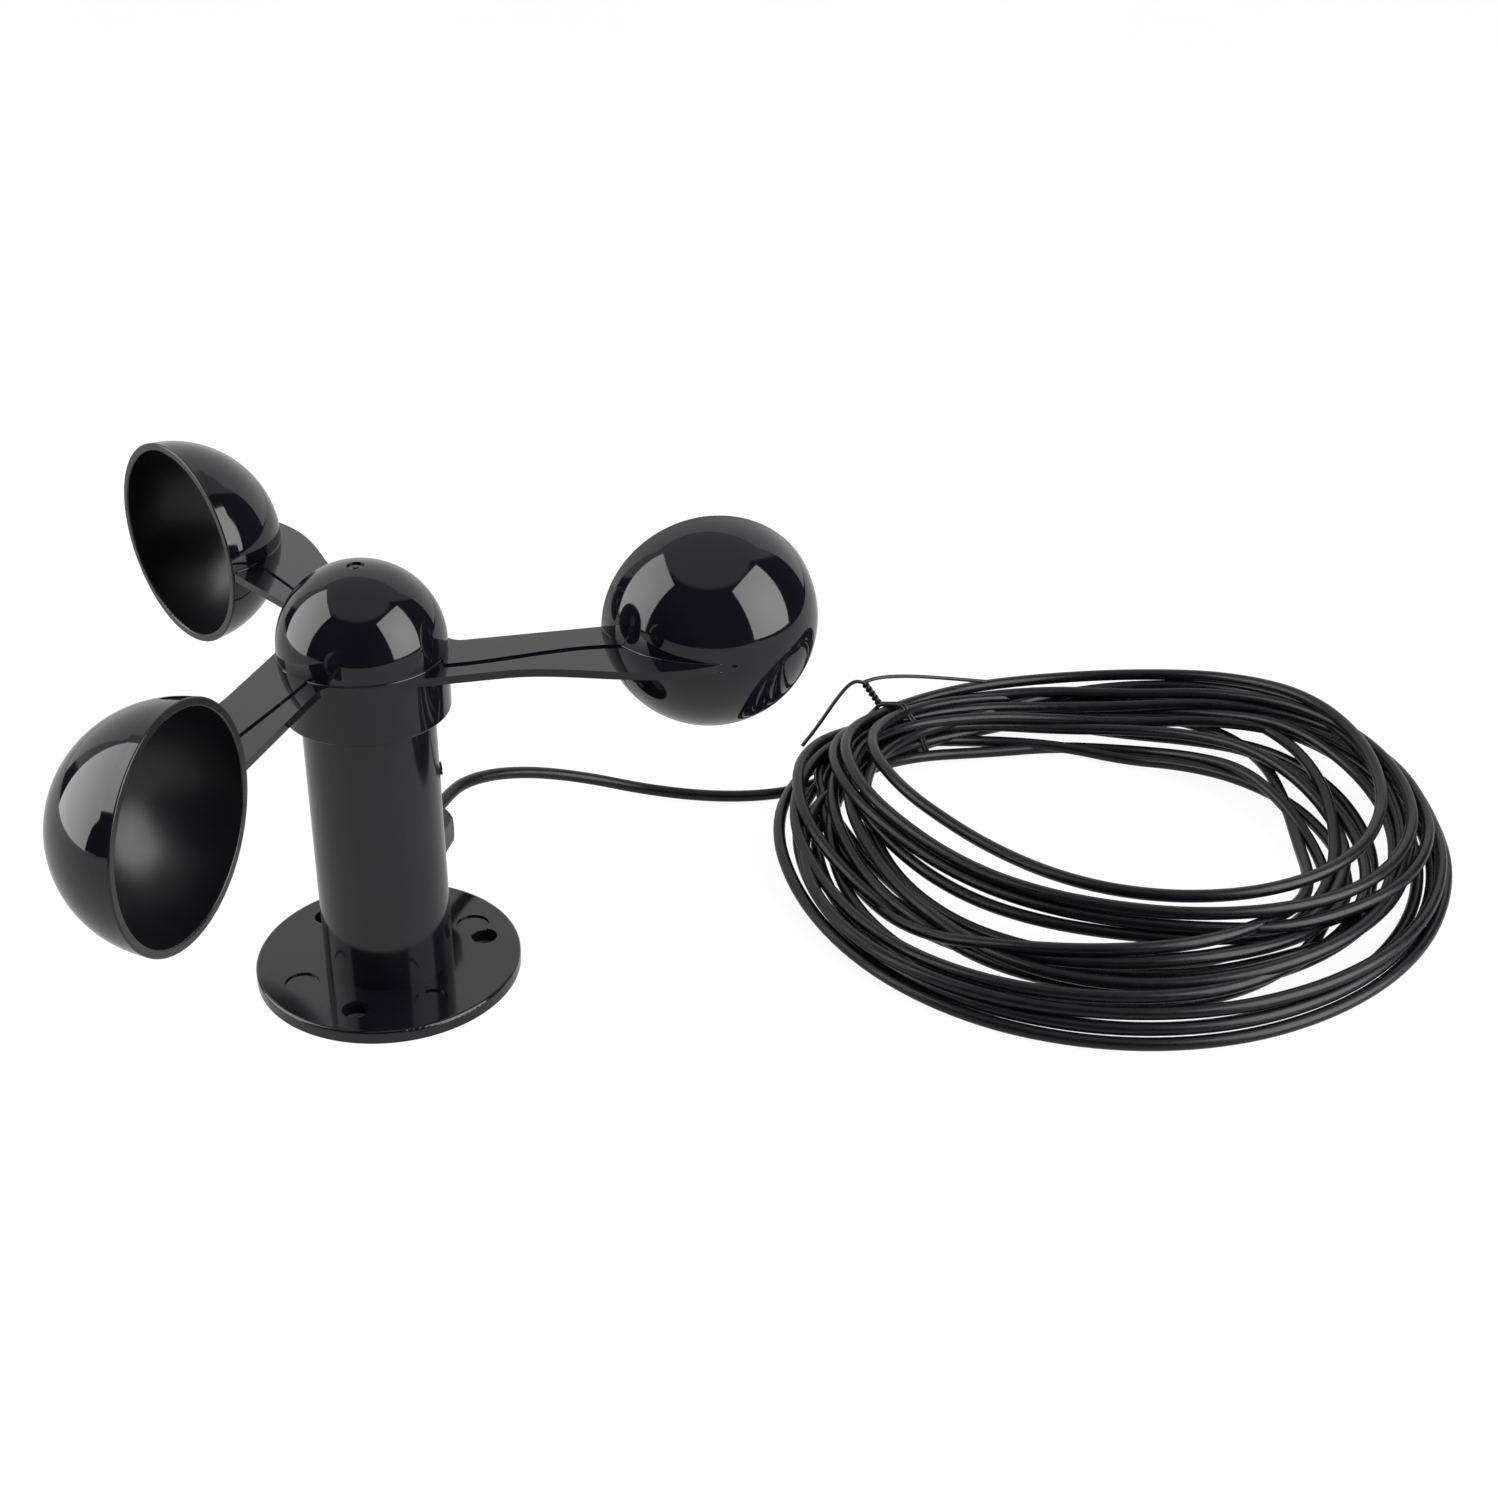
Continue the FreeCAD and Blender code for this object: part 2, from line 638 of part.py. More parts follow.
def arm_rib():
    """Raised band along the blade, narrowest half way to the cup."""
    open_side = [(17.0, -4.5), (30.0, -5.4), (45.0, -6.9), (62.0, -8.0)]
    closed_side = [(17.0, -12.6), (27.0, -12.4), (42.0, -10.9), (62.0, -12.8)]
    edges = [spline(open_side), line(open_side[-1], closed_side[-1]), spline(closed_side),
             line(closed_side[0], open_side[0])]
    rib = flat_face(Part.__sortEdges__(edges)).extrude(vec(0, 0, ARM_T + RIB_H))
    return rib.cut(disc(DOME_R, -1, ARM_T + RIB_H + 1))


def rotor_arm(turn):
    root = Part.makeCylinder(ARM_ROOT_R, ARM_T, ORIGIN, Z, 120)
    root = turned(root, ARM_ROOT_AZIMUTH - 60).cut(disc(ARM_ROOT_BORE_R, -1, ARM_T + 1))
    shape = fused([root, arm_plate(), arm_rib()])
    shape.translate(vec(0, 0, ARM_BOTTOM_Z))
    shape = turned(shape.cut(cup_blank()), turn)
    for at in arm_screw_places():
        shape = shape.cut(disc(1.15, ARM_BOTTOM_Z - 1, arm_top_z() + 1, at))
    return shape


def arm_screws():
    top = arm_top_z()
    return group([disc(2.0, top, top + 1.5, at).fuse(disc(0.95, DECK_BOTTOM_Z + 0.2, top, at))
                  for at in arm_screw_places()])


def cup_section(hollow):
    """Half section of a cup: x is the radius about its axis and y is negative inside."""
    lip_start = math.sqrt(CUP_R ** 2 - CUP_LIP_W ** 2)
    inner = CUP_R - CUP_WALL
    edge = CUP_EDGE_ROUND
    slant = edge * (1 - math.sqrt(0.5))
    edges = [arc((0, -CUP_R), (CUP_R * math.sin(0.7), -CUP_R * math.cos(0.7)), (lip_start, -CUP_LIP_W)),
             line((lip_start, -CUP_LIP_W), (CUP_LIP_R, -edge)),
             arc((CUP_LIP_R, -edge), (CUP_LIP_R - slant, -slant), (CUP_LIP_R - edge, 0))]
    if not hollow:
        edges += [line((CUP_LIP_R - edge, 0), (0, 0)), line((0, 0), (0, -CUP_R))]
        return flat_face(Part.__sortEdges__(edges))
    inner_start = math.sqrt(inner ** 2 - edge ** 2)
    edges += [line((CUP_LIP_R - edge, 0), (inner_start + edge, 0)),
              arc((inner_start + edge, 0), (inner_start + slant, -slant), (inner_start, -edge)),
              arc((inner_start, -edge), (inner * math.sin(0.7), -inner * math.cos(0.7)), (0, -inner)),
              line((0, -inner), (0, -CUP_R))]
    return flat_face(Part.__sortEdges__(edges))


def cup_blank(hollow=False):
    shape = cup_section(hollow).revolve(ORIGIN, Y, 360)
    shape.translate(vec(CUP_CIRCLE_R, 0, CUP_Z))
    return shape


def cup(turn):
    return turned(cup_blank(hollow=True), turn)


# Free cable, its coil, tie and bare ends

def ellipse_block(long_axis, short_axis, azimuth):
    """Upright elliptical block as high as the coil, centred on the rotor axis."""
    curve = Part.Ellipse(ORIGIN, long_axis, short_axis)
    block = Part.Face(Part.Wire(curve.toShape())).extrude(vec(0, 0, COIL_H))
    return turned(block, azimuth)


def cable():
    return tube_along(CABLE_ROUTE, CABLE_R)


def cable_coil():
    outer = ellipse_block(*COIL_OUTER)
    outer = outer.makeFillet(COIL_EDGE_ROUND, [e for e in outer.Edges if edge_at(e, COIL_H)])
    waist = disc(WAIST_R, -1, COIL_H + 1, polar(TIE_MIDDLE + TIE_W / 2 - TIE_T + WAIST_R, TIE_AZIMUTH))
    shape = outer.cut(ellipse_block(*COIL_INNER)).cut(waist)
    return beside_coil(shape, 0).cut(wire_tie())


def beside_coil(shape, azimuth):
    """A shape built along +X from the coil's centre, turned to an azimuth about it."""
    copy = turned(shape, azimuth)
    copy.translate(vec(COIL_CENTRE[0], COIL_CENTRE[1], 0))
    return copy


def wire_tie():
    """Wire loop round the bundle, with its twisted stem standing on top."""
    half = TIE_W / 2
    loop = Part.makeBox(TIE_W, TIE_T, COIL_H + TIE_T, vec(TIE_MIDDLE - half, -TIE_T / 2, 0))
    inside = Part.makeBox(TIE_W - 2 * TIE_T, TIE_T + 2, COIL_H - TIE_T,
                          vec(TIE_MIDDLE - half + TIE_T, -TIE_T, TIE_T))
    stem = disc(1.0, COIL_H, COIL_H + TIE_STEM_H, vec(TIE_MIDDLE + half - 2.0, 0, 0))
    return beside_coil(loop.cut(inside).fuse(stem).removeSplitter(), TIE_AZIMUTH)


def cable_leads():
    """Three stripped leads at the cable's far end, under the bundle."""
    leads = []
    for i in range(3):
        at = vec(LEAD_MIDDLE + 2.2 * i, -LEAD_L / 2, LEAD_R + 0.3)
        leads.append(beside_coil(Part.makeCylinder(LEAD_R, LEAD_L, at, Y), LEAD_AZIMUTH))
    return group(leads)


NODES = {
    "base_flange": base_flange,
    "body_tube": body_tube,
    "bottom_cover": bottom_cover,
    "cover_gasket": cover_gasket,
    "cover_screws": cover_screws,
    "flange_screws": flange_screws,
    "gland_body": gland_body,
    "gland_washer": gland_washer,
    "gland_seal": gland_seal,
    "gland_cap": gland_cap,
    "cable_tail": cable_tail,
    "tail_tie": tail_tie,
    "supply_wire": lambda: inner_wire(0),
    "ground_wire": lambda: inner_wire(1),
    "signal_wire": lambda: inner_wire(2),
    "bearing_housing": bearing_housing,
    "housing_screw": housing_screw,
    "lower_retaining_ring": lambda: retaining_ring(LOWER_BEARING_Z - 0.95),
    "upper_retaining_ring": lambda: retaining_ring(UPPER_BEARING_Z + BEARING_W + 0.15),
    "dust_shield": dust_shield,
    "board_standoffs": board_standoffs,
    "board_screws": board_screws,
    "sensor_board": sensor_board,
    "hall_sensor": hall_sensor,
    "board_chips": board_chips,
    "board_capacitors": board_capacitors,
    "terminal_block": terminal_block,
    "rotor_shaft": rotor_shaft,
    "shaft_clip": shaft_clip,
    "bearing_spacer": bearing_spacer,
    "hub_spacer": hub_spacer,
    "magnet_carrier": magnet_carrier,
    "sensor_magnets": sensor_magnets,
    "rotor_hub": rotor_hub,
    "hub_washer": hub_washer,
    "hub_nut": hub_nut,
    "hub_cap": hub_cap,
    "arm_screws": arm_screws,
    "cable": cable,
    "cable_coil": cable_coil,
    "wire_tie": wire_tie,
    "cable_leads": cable_leads,
}

for name, z0 in (("lower", LOWER_BEARING_Z), ("upper", UPPER_BEARING_Z)):
    NODES[name + "_outer_race"] = lambda z0=z0: outer_race(z0)
    NODES[name + "_inner_race"] = lambda z0=z0: inner_race(z0)
    NODES[name + "_balls"] = lambda z0=z0: balls(z0)
    NODES[name + "_cage"] = lambda z0=z0: cage(z0)

for number, turn in enumerate(THIRDS, 1):
    NODES["arm_%d" % number] = lambda turn=turn: rotor_arm(turn)
    NODES["cup_%d" % number] = lambda turn=turn: cup(turn)

os.makedirs("parts", exist_ok=True)
for node, make in NODES.items():
    shape = make()
    print(node, "solids", len(shape.Solids), "valid", shape.isValid(), "volume", round(shape.Volume, 1))
    shape.exportStep("parts/%s.step" % node)
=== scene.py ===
import math

import bpy
import numpy as np
from mathutils import Euler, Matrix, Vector

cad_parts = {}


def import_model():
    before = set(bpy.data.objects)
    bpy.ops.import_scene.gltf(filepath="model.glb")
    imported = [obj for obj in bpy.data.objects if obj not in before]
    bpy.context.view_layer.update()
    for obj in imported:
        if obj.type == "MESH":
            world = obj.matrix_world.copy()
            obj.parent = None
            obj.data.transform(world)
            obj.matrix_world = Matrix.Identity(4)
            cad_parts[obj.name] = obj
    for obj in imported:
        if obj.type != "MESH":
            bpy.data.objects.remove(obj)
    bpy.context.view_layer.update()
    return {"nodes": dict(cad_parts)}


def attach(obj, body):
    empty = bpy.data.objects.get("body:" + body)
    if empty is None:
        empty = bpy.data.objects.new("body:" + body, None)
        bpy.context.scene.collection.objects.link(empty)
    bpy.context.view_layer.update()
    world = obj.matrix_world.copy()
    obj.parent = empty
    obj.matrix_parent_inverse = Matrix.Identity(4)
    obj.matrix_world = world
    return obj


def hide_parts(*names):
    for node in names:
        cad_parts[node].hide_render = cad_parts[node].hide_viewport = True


# Looks for the three-cup anemometer. Metres, +Z up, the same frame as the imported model.

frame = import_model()

# Camera
CAMERA_PLACE = (-0.0193, -0.4278, 0.2991)
CAMERA_YAW = 0.2543
CAMERA_PITCH = 0.5131
CAMERA_ROLL = 0.0160
CAMERA_LENS = 49.17

# Cable: the first points are the route that the CAD tube follows
CABLE_D = 0.0033
CABLE_R = CABLE_D / 2
ROUTE = [
    (0.01310, 0.02810, 0.02200),
    (0.02070, 0.04439, 0.02160),
    (0.03000, 0.05320, 0.02040),
    (0.04400, 0.06060, 0.01600),
    (0.06100, 0.06540, 0.00920),
    (0.07800, 0.06490, 0.00330),
    (0.09450, 0.06000, 0.00165),
    (0.11000, 0.05660, 0.00165),
    (0.12400, 0.05780, 0.00165),
    (0.13450, 0.06320, 0.00260),
    (0.14350, 0.06960, 0.00430),
]

# Coil: strand spacing and centre, then its two edges as degrees travelled from the tie against radius,
# and how far its strands rise, as degrees travelled against height
PITCH = 0.0034
COIL_CENTRE = (0.198, 0.007)
OUTER_EDGE = ((0, 0.0855), (25, 0.0865), (50, 0.0890), (110, 0.0925), (140, 0.0895), (165, 0.0850),
              (200, 0.0840), (237, 0.0885), (260, 0.0905), (300, 0.0930), (325, 0.0980), (340, 0.0965),
              (360, 0.0855))
INNER_EDGE = ((0, 0.0700), (25, 0.0565), (50, 0.0535), (75, 0.0500), (100, 0.0470), (140, 0.0490),
              (170, 0.0495), (200, 0.0480), (237, 0.0470), (275, 0.0490), (305, 0.0540), (332, 0.0640),
              (360, 0.0700))
RISE = ((0, 0.0), (50, -0.0010), (105, 0.0080), (140, 0.0030), (190, 0.0005), (260, 0.0), (300, 0.0025),
        (335, 0.0060), (360, 0.0))

# Where each turn lies at the back, right, front and left of the coil: its place from the inner edge (0)
# to the outer edge (1), and its height. The stations are in degrees travelled from the tie
STATIONS = (50, 140, 237, 300)
TURN_PATHS = (
    ((0.95, 0.0016), (1.00, 0.0016), (1.00, 0.0016), (1.00, 0.0016)),
    ((0.85, 0.0016), (0.90, 0.0016), (0.95, 0.0050), (0.90, 0.0016)),
    ((0.75, 0.0016), (0.80, 0.0016), (0.85, 0.0016), (0.80, 0.0016)),
    ((0.80, 0.0050), (0.95, 0.0050), (0.90, 0.0082), (0.95, 0.0050)),
    ((0.12, 0.0016), (0.10, 0.0016), (0.75, 0.0050), (0.70, 0.0016)),
    ((0.62, 0.0050), (0.00, 0.0016), (0.55, 0.0165), (0.60, 0.0016)),
    ((0.00, 0.0016), (0.25, 0.0016), (0.60, 0.0145), (0.50, 0.0016)),
    ((0.45, 0.0016), (0.50, 0.0016), (0.45, 0.0016), (0.35, 0.0016)),
    ((0.55, 0.0050), (0.74, 0.0050), (0.40, 0.0050), (0.65, 0.0050)),
    ((0.32, 0.0045), (0.38, 0.0050), (0.85, 0.0114), (0.85, 0.0050)),
    ((0.48, 0.0080), (0.62, 0.0083), (0.65, 0.0080), (0.55, 0.0050)),
    ((0.18, 0.0080), (0.28, 0.0050), (0.35, 0.0080), (0.35, 0.0040)),
    ((0.70, 0.0110), (0.66, 0.0110), (0.72, 0.0110), (0.45, 0.0080)),
    ((0.25, 0.0080), (0.75, 0.0083), (0.18, 0.0112), (0.23, 0.0072)),
    ((0.40, 0.0105), (0.86, 0.0115), (0.16, 0.0144), (0.19, 0.0105)),
    ((0.55, 0.0120), (0.74, 0.0145), (0.14, 0.0175), (0.16, 0.0138)),
    ((0.80, 0.0140), (0.52, 0.0180), (0.00, 0.0187), (-0.10, 0.0150)),
    ((0.68, 0.0100), (0.25, 0.0050), (0.20, 0.0016), (0.25, 0.0016)),
)
TURNS = len(TURN_PATHS)

# Settling of the turns: points on each turn, which of them are kept, the part of the last turn that
# there is, the rounds, and how much of each pull or push one round gives
SAMPLES = 72
KEEP_EVERY = 4
LAST_TURN = 0.70
SETTLE_ROUNDS = 400
PULL_HEIGHT = 0.10
PULL_RADIUS = 0.12
PUSH_HEIGHT = 0.60
PUSH_RADIUS = 0.42

# Tie: its place, then how many strands each row has as the cable goes through it
TIE_AZIMUTH = 125.0
TIE_R = 0.0785
TIE_ROWS = (5, 4, 4, 3, 2)
TIE_ROW_RISE = 0.87
TIE_LIFT = 0.0022
TIE_WIRE_R = 0.00055
TIE_GAP = 0.0002
TIE_START = 42.0
TIE_PITCH = 0.0012
TIE_SLANT = 0.6
WRAP_STEPS = 32
TWIST_TURNS = 2.6
TWIST_STEPS = 24
TWIST_SPREAD = 1.04
TIE_STEM = (-0.0048, 0.0010, 0.0072)
TIE_LEFT_END = ((-0.0035, 0.0002, 0.0010), (-0.0090, -0.0016, -0.0040), (-0.0145, -0.0034, -0.0110),
                (-0.0192, -0.0040, -0.0165))
TIE_RIGHT_END = ((0.0050, 0.0016, 0.0004), (0.0140, 0.0040, -0.0014), (0.0250, 0.0048, -0.0036),
                 (0.0390, 0.0038, -0.0060))

# Leads at the cable's bare end
LEAD_R = 0.00062
LEAD_CORE_R = 0.00034
LEAD_AZIMUTHS = (232.0, 213.0)
LEAD_RADII = (0.0572, 0.0587, 0.0622)
LEAD_STEPS = 6
LEAD_LIFT = 0.0003
LEAD_STACK = 0.0004
LEAD_FAN = 1.4
LEAD_DROP = 1.6
LEAD_JACKET_END = 0.78
LEAD_CORE_PARTS = (0.84, 0.92, 1.0)

# Rotor
TURN_ANGLES = (0.0, 120.0, 240.0)
CUP_CIRCLE_R = 0.0813
CUP_Z = 0.0877
CUP_R = 0.0259
CUP_INNER_R = 0.0240
ARM_BOTTOM_Z = 0.0861
ARM_TOP_Z = 0.08805
DOME_R = 0.01946
DOME_CENTRE_Z = 0.0895
RIM_DEPTH = 0.00045
BEAD_R = 0.00035
BEAD_SIDES = 10
BEAD_TIP = 0.25
BEAD_TIP_STEPS = 4
CUP_BEAD_START = 182
CUP_BEAD_SWEEP = 82
CUP_BEAD_STEPS = 48
DOME_BEAD_STEPS = 144

# Studio: directions are azimuth and elevation seen from the object, in degrees
STUDIO_CENTRE = (0.03, 0.0, 0.088)
SOFTBOX_HALF = (0.43, 0.56)
LEFT_BOX = (169.0, 25.0)
RIGHT_BOX = (-34.0, 22.0)
LEFT_LIGHT = 4.2
RIGHT_LIGHT = 5.0
SOFTBOX_LOWEST_Z = 0.002
SOFTBOX_HOT = 0.12
HOT_SPOT = (0.5, 0.45, 0)
HOT_REACH = 0.7
BACKDROP_AZIMUTH = 78.0
BACKDROP_DISTANCE = 1.2
BACKDROP_HALF_W = 1.55
BACKDROP_TOP = 1.80
BACKDROP_LIGHT = 0.9
CEILING_LIGHT = 0.5
CEILING_EDGE = (0.78, 0.84)
CEILING_TOWARDS_BACK = 0.9
ROOM_LIGHT = 0.02
FLOOR_LIGHT = 0.93
FLOOR_IN_REFLECTIONS = 0.55
# Radius of the painted shade on the floor under the flange, where the floor doesn't glow
PAINTED_SHADE_R = 0.031


# Helpers

def polar(radius, azimuth, z=0.0, centre=(0.0, 0.0)):
    angle = math.radians(azimuth)
    return Vector((centre[0] + radius * math.cos(angle), centre[1] + radius * math.sin(angle), z))


def smooth(x):
    x = np.clip(x, 0, 1)
    return x * x * (3 - 2 * x)


def add_object(name, data):
    obj = bpy.data.objects.new(name, data)
    bpy.context.scene.collection.objects.link(obj)
    return obj


def add_mesh(name, points, faces, material, shade_smooth=True):
    mesh = bpy.data.meshes.new(name)
    mesh.from_pydata([tuple(p) for p in points], [], faces)
    mesh.update()
    if shade_smooth:
        mesh.polygons.foreach_set("use_smooth", [True] * len(mesh.polygons))
    obj = add_object(name, mesh)
    mesh.materials.append(material)
    return obj


def add_curve(name, lines, radius, material, resolution):
    """Round wires, one smooth NURBS spline for each list of points."""
    curve = bpy.data.curves.new(name, "CURVE")
    curve.dimensions = "3D"
    curve.bevel_depth = radius
    curve.bevel_resolution = 4
    curve.resolution_u = resolution
    curve.use_fill_caps = True
    for points in lines:
        spline = curve.splines.new("NURBS")
        spline.points.add(len(points) - 1)
        for knot, p in zip(spline.points, points):
            knot.co = (p[0], p[1], p[2], 1.0)
        spline.order_u = 3
        spline.use_endpoint_u = True
    curve.materials.append(material)
    return add_object(name, curve)


# Materials

def new_material(name):
    mat = bpy.data.materials.new(name)
    mat.use_nodes = True
    tree = mat.node_tree
    return mat, tree, tree.nodes["Principled BSDF"]


def noise(tree, scale, detail, stretch=None):
    """Noise in the object's own space, so that it turns with its body."""
    place = tree.nodes.new("ShaderNodeTexCoord")
    node = tree.nodes.new("ShaderNodeTexNoise")
    node.inputs["Scale"].default_value = scale
    node.inputs["Detail"].default_value = detail
    source = place.outputs["Object"]
    if stretch:
        mapping = tree.nodes.new("ShaderNodeMapping")
        mapping.inputs["Scale"].default_value = stretch
        tree.links.new(source, mapping.inputs["Vector"])
        source = mapping.outputs["Vector"]
    tree.links.new(source, node.inputs["Vector"])
    return node.outputs["Fac"]


def ramp(tree, fac, low, high, start=0.35, end=0.65):
    """Colour ramp between two colours over part of a noise's range."""
    node = tree.nodes.new("ShaderNodeValToRGB")
    node.color_ramp.elements[0].position = start
    node.color_ramp.elements[1].position = end
    node.color_ramp.elements[0].color = (*low, 1)
    node.color_ramp.elements[1].color = (*high, 1)
    tree.links.new(fac, node.inputs["Fac"])
    return node.outputs["Color"]


def spread(tree, fac, low, high):
    """A noise's middle range stretched between two values."""
    node = tree.nodes.new("ShaderNodeMapRange")
    node.inputs["From Min"].default_value = 0.3
    node.inputs["From Max"].default_value = 0.7
    node.inputs["To Min"].default_value = low
    node.inputs["To Max"].default_value = high
    tree.links.new(fac, node.inputs["Value"])
    return node.outputs["Result"]


def bump(tree, bsdf, height, depth, strength, under=None):
    node = tree.nodes.new("ShaderNodeBump")
    node.inputs["Strength"].default_value = strength
    node.inputs["Distance"].default_value = depth
    tree.links.new(height, node.inputs["Height"])
    if under:
        tree.links.new(under, node.inputs["Normal"])
    tree.links.new(node.outputs["Normal"], bsdf.inputs["Normal"])
    return node.outputs["Normal"]


def surface(name, low, high, rough, mottle, grain, depth, metallic=0.0, stretch=None, specular=0.5):
    """A finish: mottled colour, uneven roughness and a fine surface grain."""
    mat, tree, bsdf = new_material(name)
    bsdf.inputs["Metallic"].default_value = metallic
    bsdf.inputs["Specular IOR Level"].default_value = specular
    tree.links.new(ramp(tree, noise(tree, mottle, 4.0), low, high), bsdf.inputs["Base Color"])
    tree.links.new(spread(tree, noise(tree, mottle * 2.3, 5.0, stretch), *rough), bsdf.inputs["Roughness"])
    first = bump(tree, bsdf, noise(tree, grain, 2.0, stretch), depth, 0.6)
    bump(tree, bsdf, noise(tree, grain * 0.12, 2.0), depth * 3, 0.25, first)
    return mat


def grey(value, cool=0.0):
    return (value, value, value + cool)


GLOSS = surface("gloss_black", grey(0.0045, 0.0022), grey(0.0065, 0.0026), (0.03, 0.07), 70, 2600,
                0.0000015)
SATIN = surface("cup_inside_black", grey(0.0045, 0.0014), grey(0.0065, 0.0018), (0.31, 0.38), 60, 5200,
                0.000008, specular=0.42)
# Mouth band of the cups: its lighter colour is a painted highlight of the rounded rim edge, and its rougher
# finish is real
RIM_PAINTED_HIGHLIGHT = surface("cup_rim_black", grey(0.0080), grey(0.0120), (0.16, 0.24), 90, 4200, 0.000005)
TUBE = surface("tube_black", grey(0.0060, 0.0020), grey(0.0080, 0.0024), (0.09, 0.13), 60, 4200, 0.000003)
FLANGE = surface("flange_black", grey(0.0050, 0.0020), grey(0.0070, 0.0024), (0.07, 0.13), 60, 3200,
                 0.000003)
NYLON = surface("gland_nylon", grey(0.0080), grey(0.0120), (0.28, 0.38), 120, 5200, 0.000008)
RUBBER = surface("seal_rubber", grey(0.0080), grey(0.0130), (0.55, 0.70), 120, 3000, 0.000010)
JACKET = surface("cable_pvc", grey(0.0040, 0.0016), grey(0.0060, 0.0020), (0.25, 0.34), 160, 1900, 0.000005,
                 specular=0.33)
TIE_PVC = surface("tie_pvc", grey(0.0060), grey(0.0100), (0.30, 0.42), 300, 2600, 0.000010)
DARK_SCREW = surface("dark_screw", grey(0.020), grey(0.035), (0.34, 0.46), 500, 3000, 0.000005,
                     metallic=0.8)
STEEL = surface("turned_steel", grey(0.50, 0.01), grey(0.62, 0.01), (0.22, 0.34), 220, 900, 0.000004,
                metallic=1.0, stretch=(1, 1, 9))
ZINC = surface("zinc_plated", grey(0.42, 0.02), grey(0.56, 0.02), (0.25, 0.40), 300, 1500, 0.000004,
               metallic=1.0)
MAGNET = surface("magnet_nickel", grey(0.45), grey(0.55), (0.12, 0.22), 250, 1500, 0.000002, metallic=1.0)
BOARD = surface("board_green", (0.006, 0.050, 0.018), (0.010, 0.080, 0.030), (0.18, 0.30), 250, 2400,
                0.000010)
PACKAGE = surface("chip_epoxy", grey(0.012), grey(0.018), (0.45, 0.60), 400, 4000, 0.000006)
TERMINAL = surface("terminal_green", (0.010, 0.10, 0.035), (0.014, 0.13, 0.05), (0.25, 0.38), 250, 2600,
                   0.000008)
CAPACITOR = surface("capacitor_sleeve", (0.012, 0.014, 0.05), (0.02, 0.022, 0.07), (0.25, 0.35), 300, 2600,
                    0.000004)
RED_WIRE = surface("red_insulation", (0.32, 0.012, 0.010), (0.42, 0.020, 0.014), (0.30, 0.42), 300, 2600,
                   0.000008)
BLACK_WIRE = surface("black_insulation", grey(0.008), grey(0.014), (0.30, 0.42), 300, 2600, 0.000008)
YELLOW_WIRE = surface("yellow_insulation", (0.50, 0.34, 0.02), (0.60, 0.42, 0.03), (0.30, 0.42), 300, 2600,
                      0.000008)
TINNED = surface("tinned_copper", (0.60, 0.57, 0.52), (0.74, 0.71, 0.66), (0.24, 0.40), 900, 3000, 0.000010,
                 metallic=1.0, stretch=(9, 1, 1))

NODE_MATERIALS = {
    GLOSS: ["rotor_hub", "hub_cap", "arm_1", "arm_2", "arm_3"],
    FLANGE: ["base_flange", "bottom_cover"],
    TUBE: ["body_tube"],
    NYLON: ["gland_body", "gland_cap", "tail_tie", "lower_cage", "upper_cage", "bearing_housing",
            "magnet_carrier", "board_standoffs"],
    RUBBER: ["cover_gasket", "gland_washer", "gland_seal", "dust_shield"],
    JACKET: ["cable_tail"],
    STEEL: ["rotor_shaft", "shaft_clip", "bearing_spacer", "hub_spacer", "lower_outer_race",
            "upper_outer_race", "lower_inner_race", "upper_inner_race", "lower_balls", "upper_balls",
            "lower_retaining_ring", "upper_retaining_ring"],
    ZINC: ["cover_screws", "flange_screws", "board_screws", "hub_washer", "hub_nut", "arm_screws"],
    DARK_SCREW: ["housing_screw"],
    MAGNET: ["sensor_magnets"],
    BOARD: ["sensor_board"],
    PACKAGE: ["hall_sensor", "board_chips"],
    TERMINAL: ["terminal_block"],
    CAPACITOR: ["board_capacitors"],
    RED_WIRE: ["supply_wire"],
    BLACK_WIRE: ["ground_wire"],
    YELLOW_WIRE: ["signal_wire"],
}


def dress_nodes():
    for material, names in NODE_MATERIALS.items():
        for name in names:
            materials = frame["nodes"][name].data.materials
            materials.clear()
            materials.append(material)


def dress_cups():
    """Gloss outside, satin inside, and a band round the mouth whose lighter colour is a painted highlight
    of its rounded edge.
    """
    for number, turn in enumerate(TURN_ANGLES, 1):
        mesh = frame["nodes"]["cup_%d" % number].data
        mesh.materials.clear()
        for material in (GLOSS, SATIN, RIM_PAINTED_HIGHLIGHT):
            mesh.materials.append(material)
        centre = polar(CUP_CIRCLE_R, turn, CUP_Z)
        mouth = polar(1.0, turn + 90)
        for face in mesh.polygons:
            away = face.center - centre
            if away.dot(mouth) > -RIM_DEPTH:
                face.material_index = 2
            elif away.length < (CUP_R + CUP_INNER_R) / 2:
                face.material_index = 1
            else:
                face.material_index = 0


# Cable, its coil and tie

def through(x, knots):
    """Smooth curve through knots, given as rows of place and value."""
    place, value = (np.array(column, float) for column in zip(*knots))
    slope = np.gradient(value, place)
    i = np.clip(np.searchsorted(place, x, side="right") - 1, 0, len(place) - 2)
    width = place[i + 1] - place[i]
    t = (x - place[i]) / width
    rise = t * t * (3 - 2 * t)
    return (value[i] * (1 - rise) + value[i + 1] * rise
            + width * t * (1 - t) * (slope[i] * (1 - t) - slope[i + 1] * t))


def tie_cells():
    """Where each pass of the cable goes through the tie, stacked like logs."""
    cells = []
    for row, count in enumerate(TIE_ROWS):
        line = [(i - (count - 1) / 2) * PITCH for i in range(count)]
        if row % 2 == 0:
            line.reverse()
        cells += [(TIE_R + x, CABLE_R + TIE_LIFT + row * PITCH * TIE_ROW_RISE) for x in line]
    cells.append(cells[-1])
    return cells


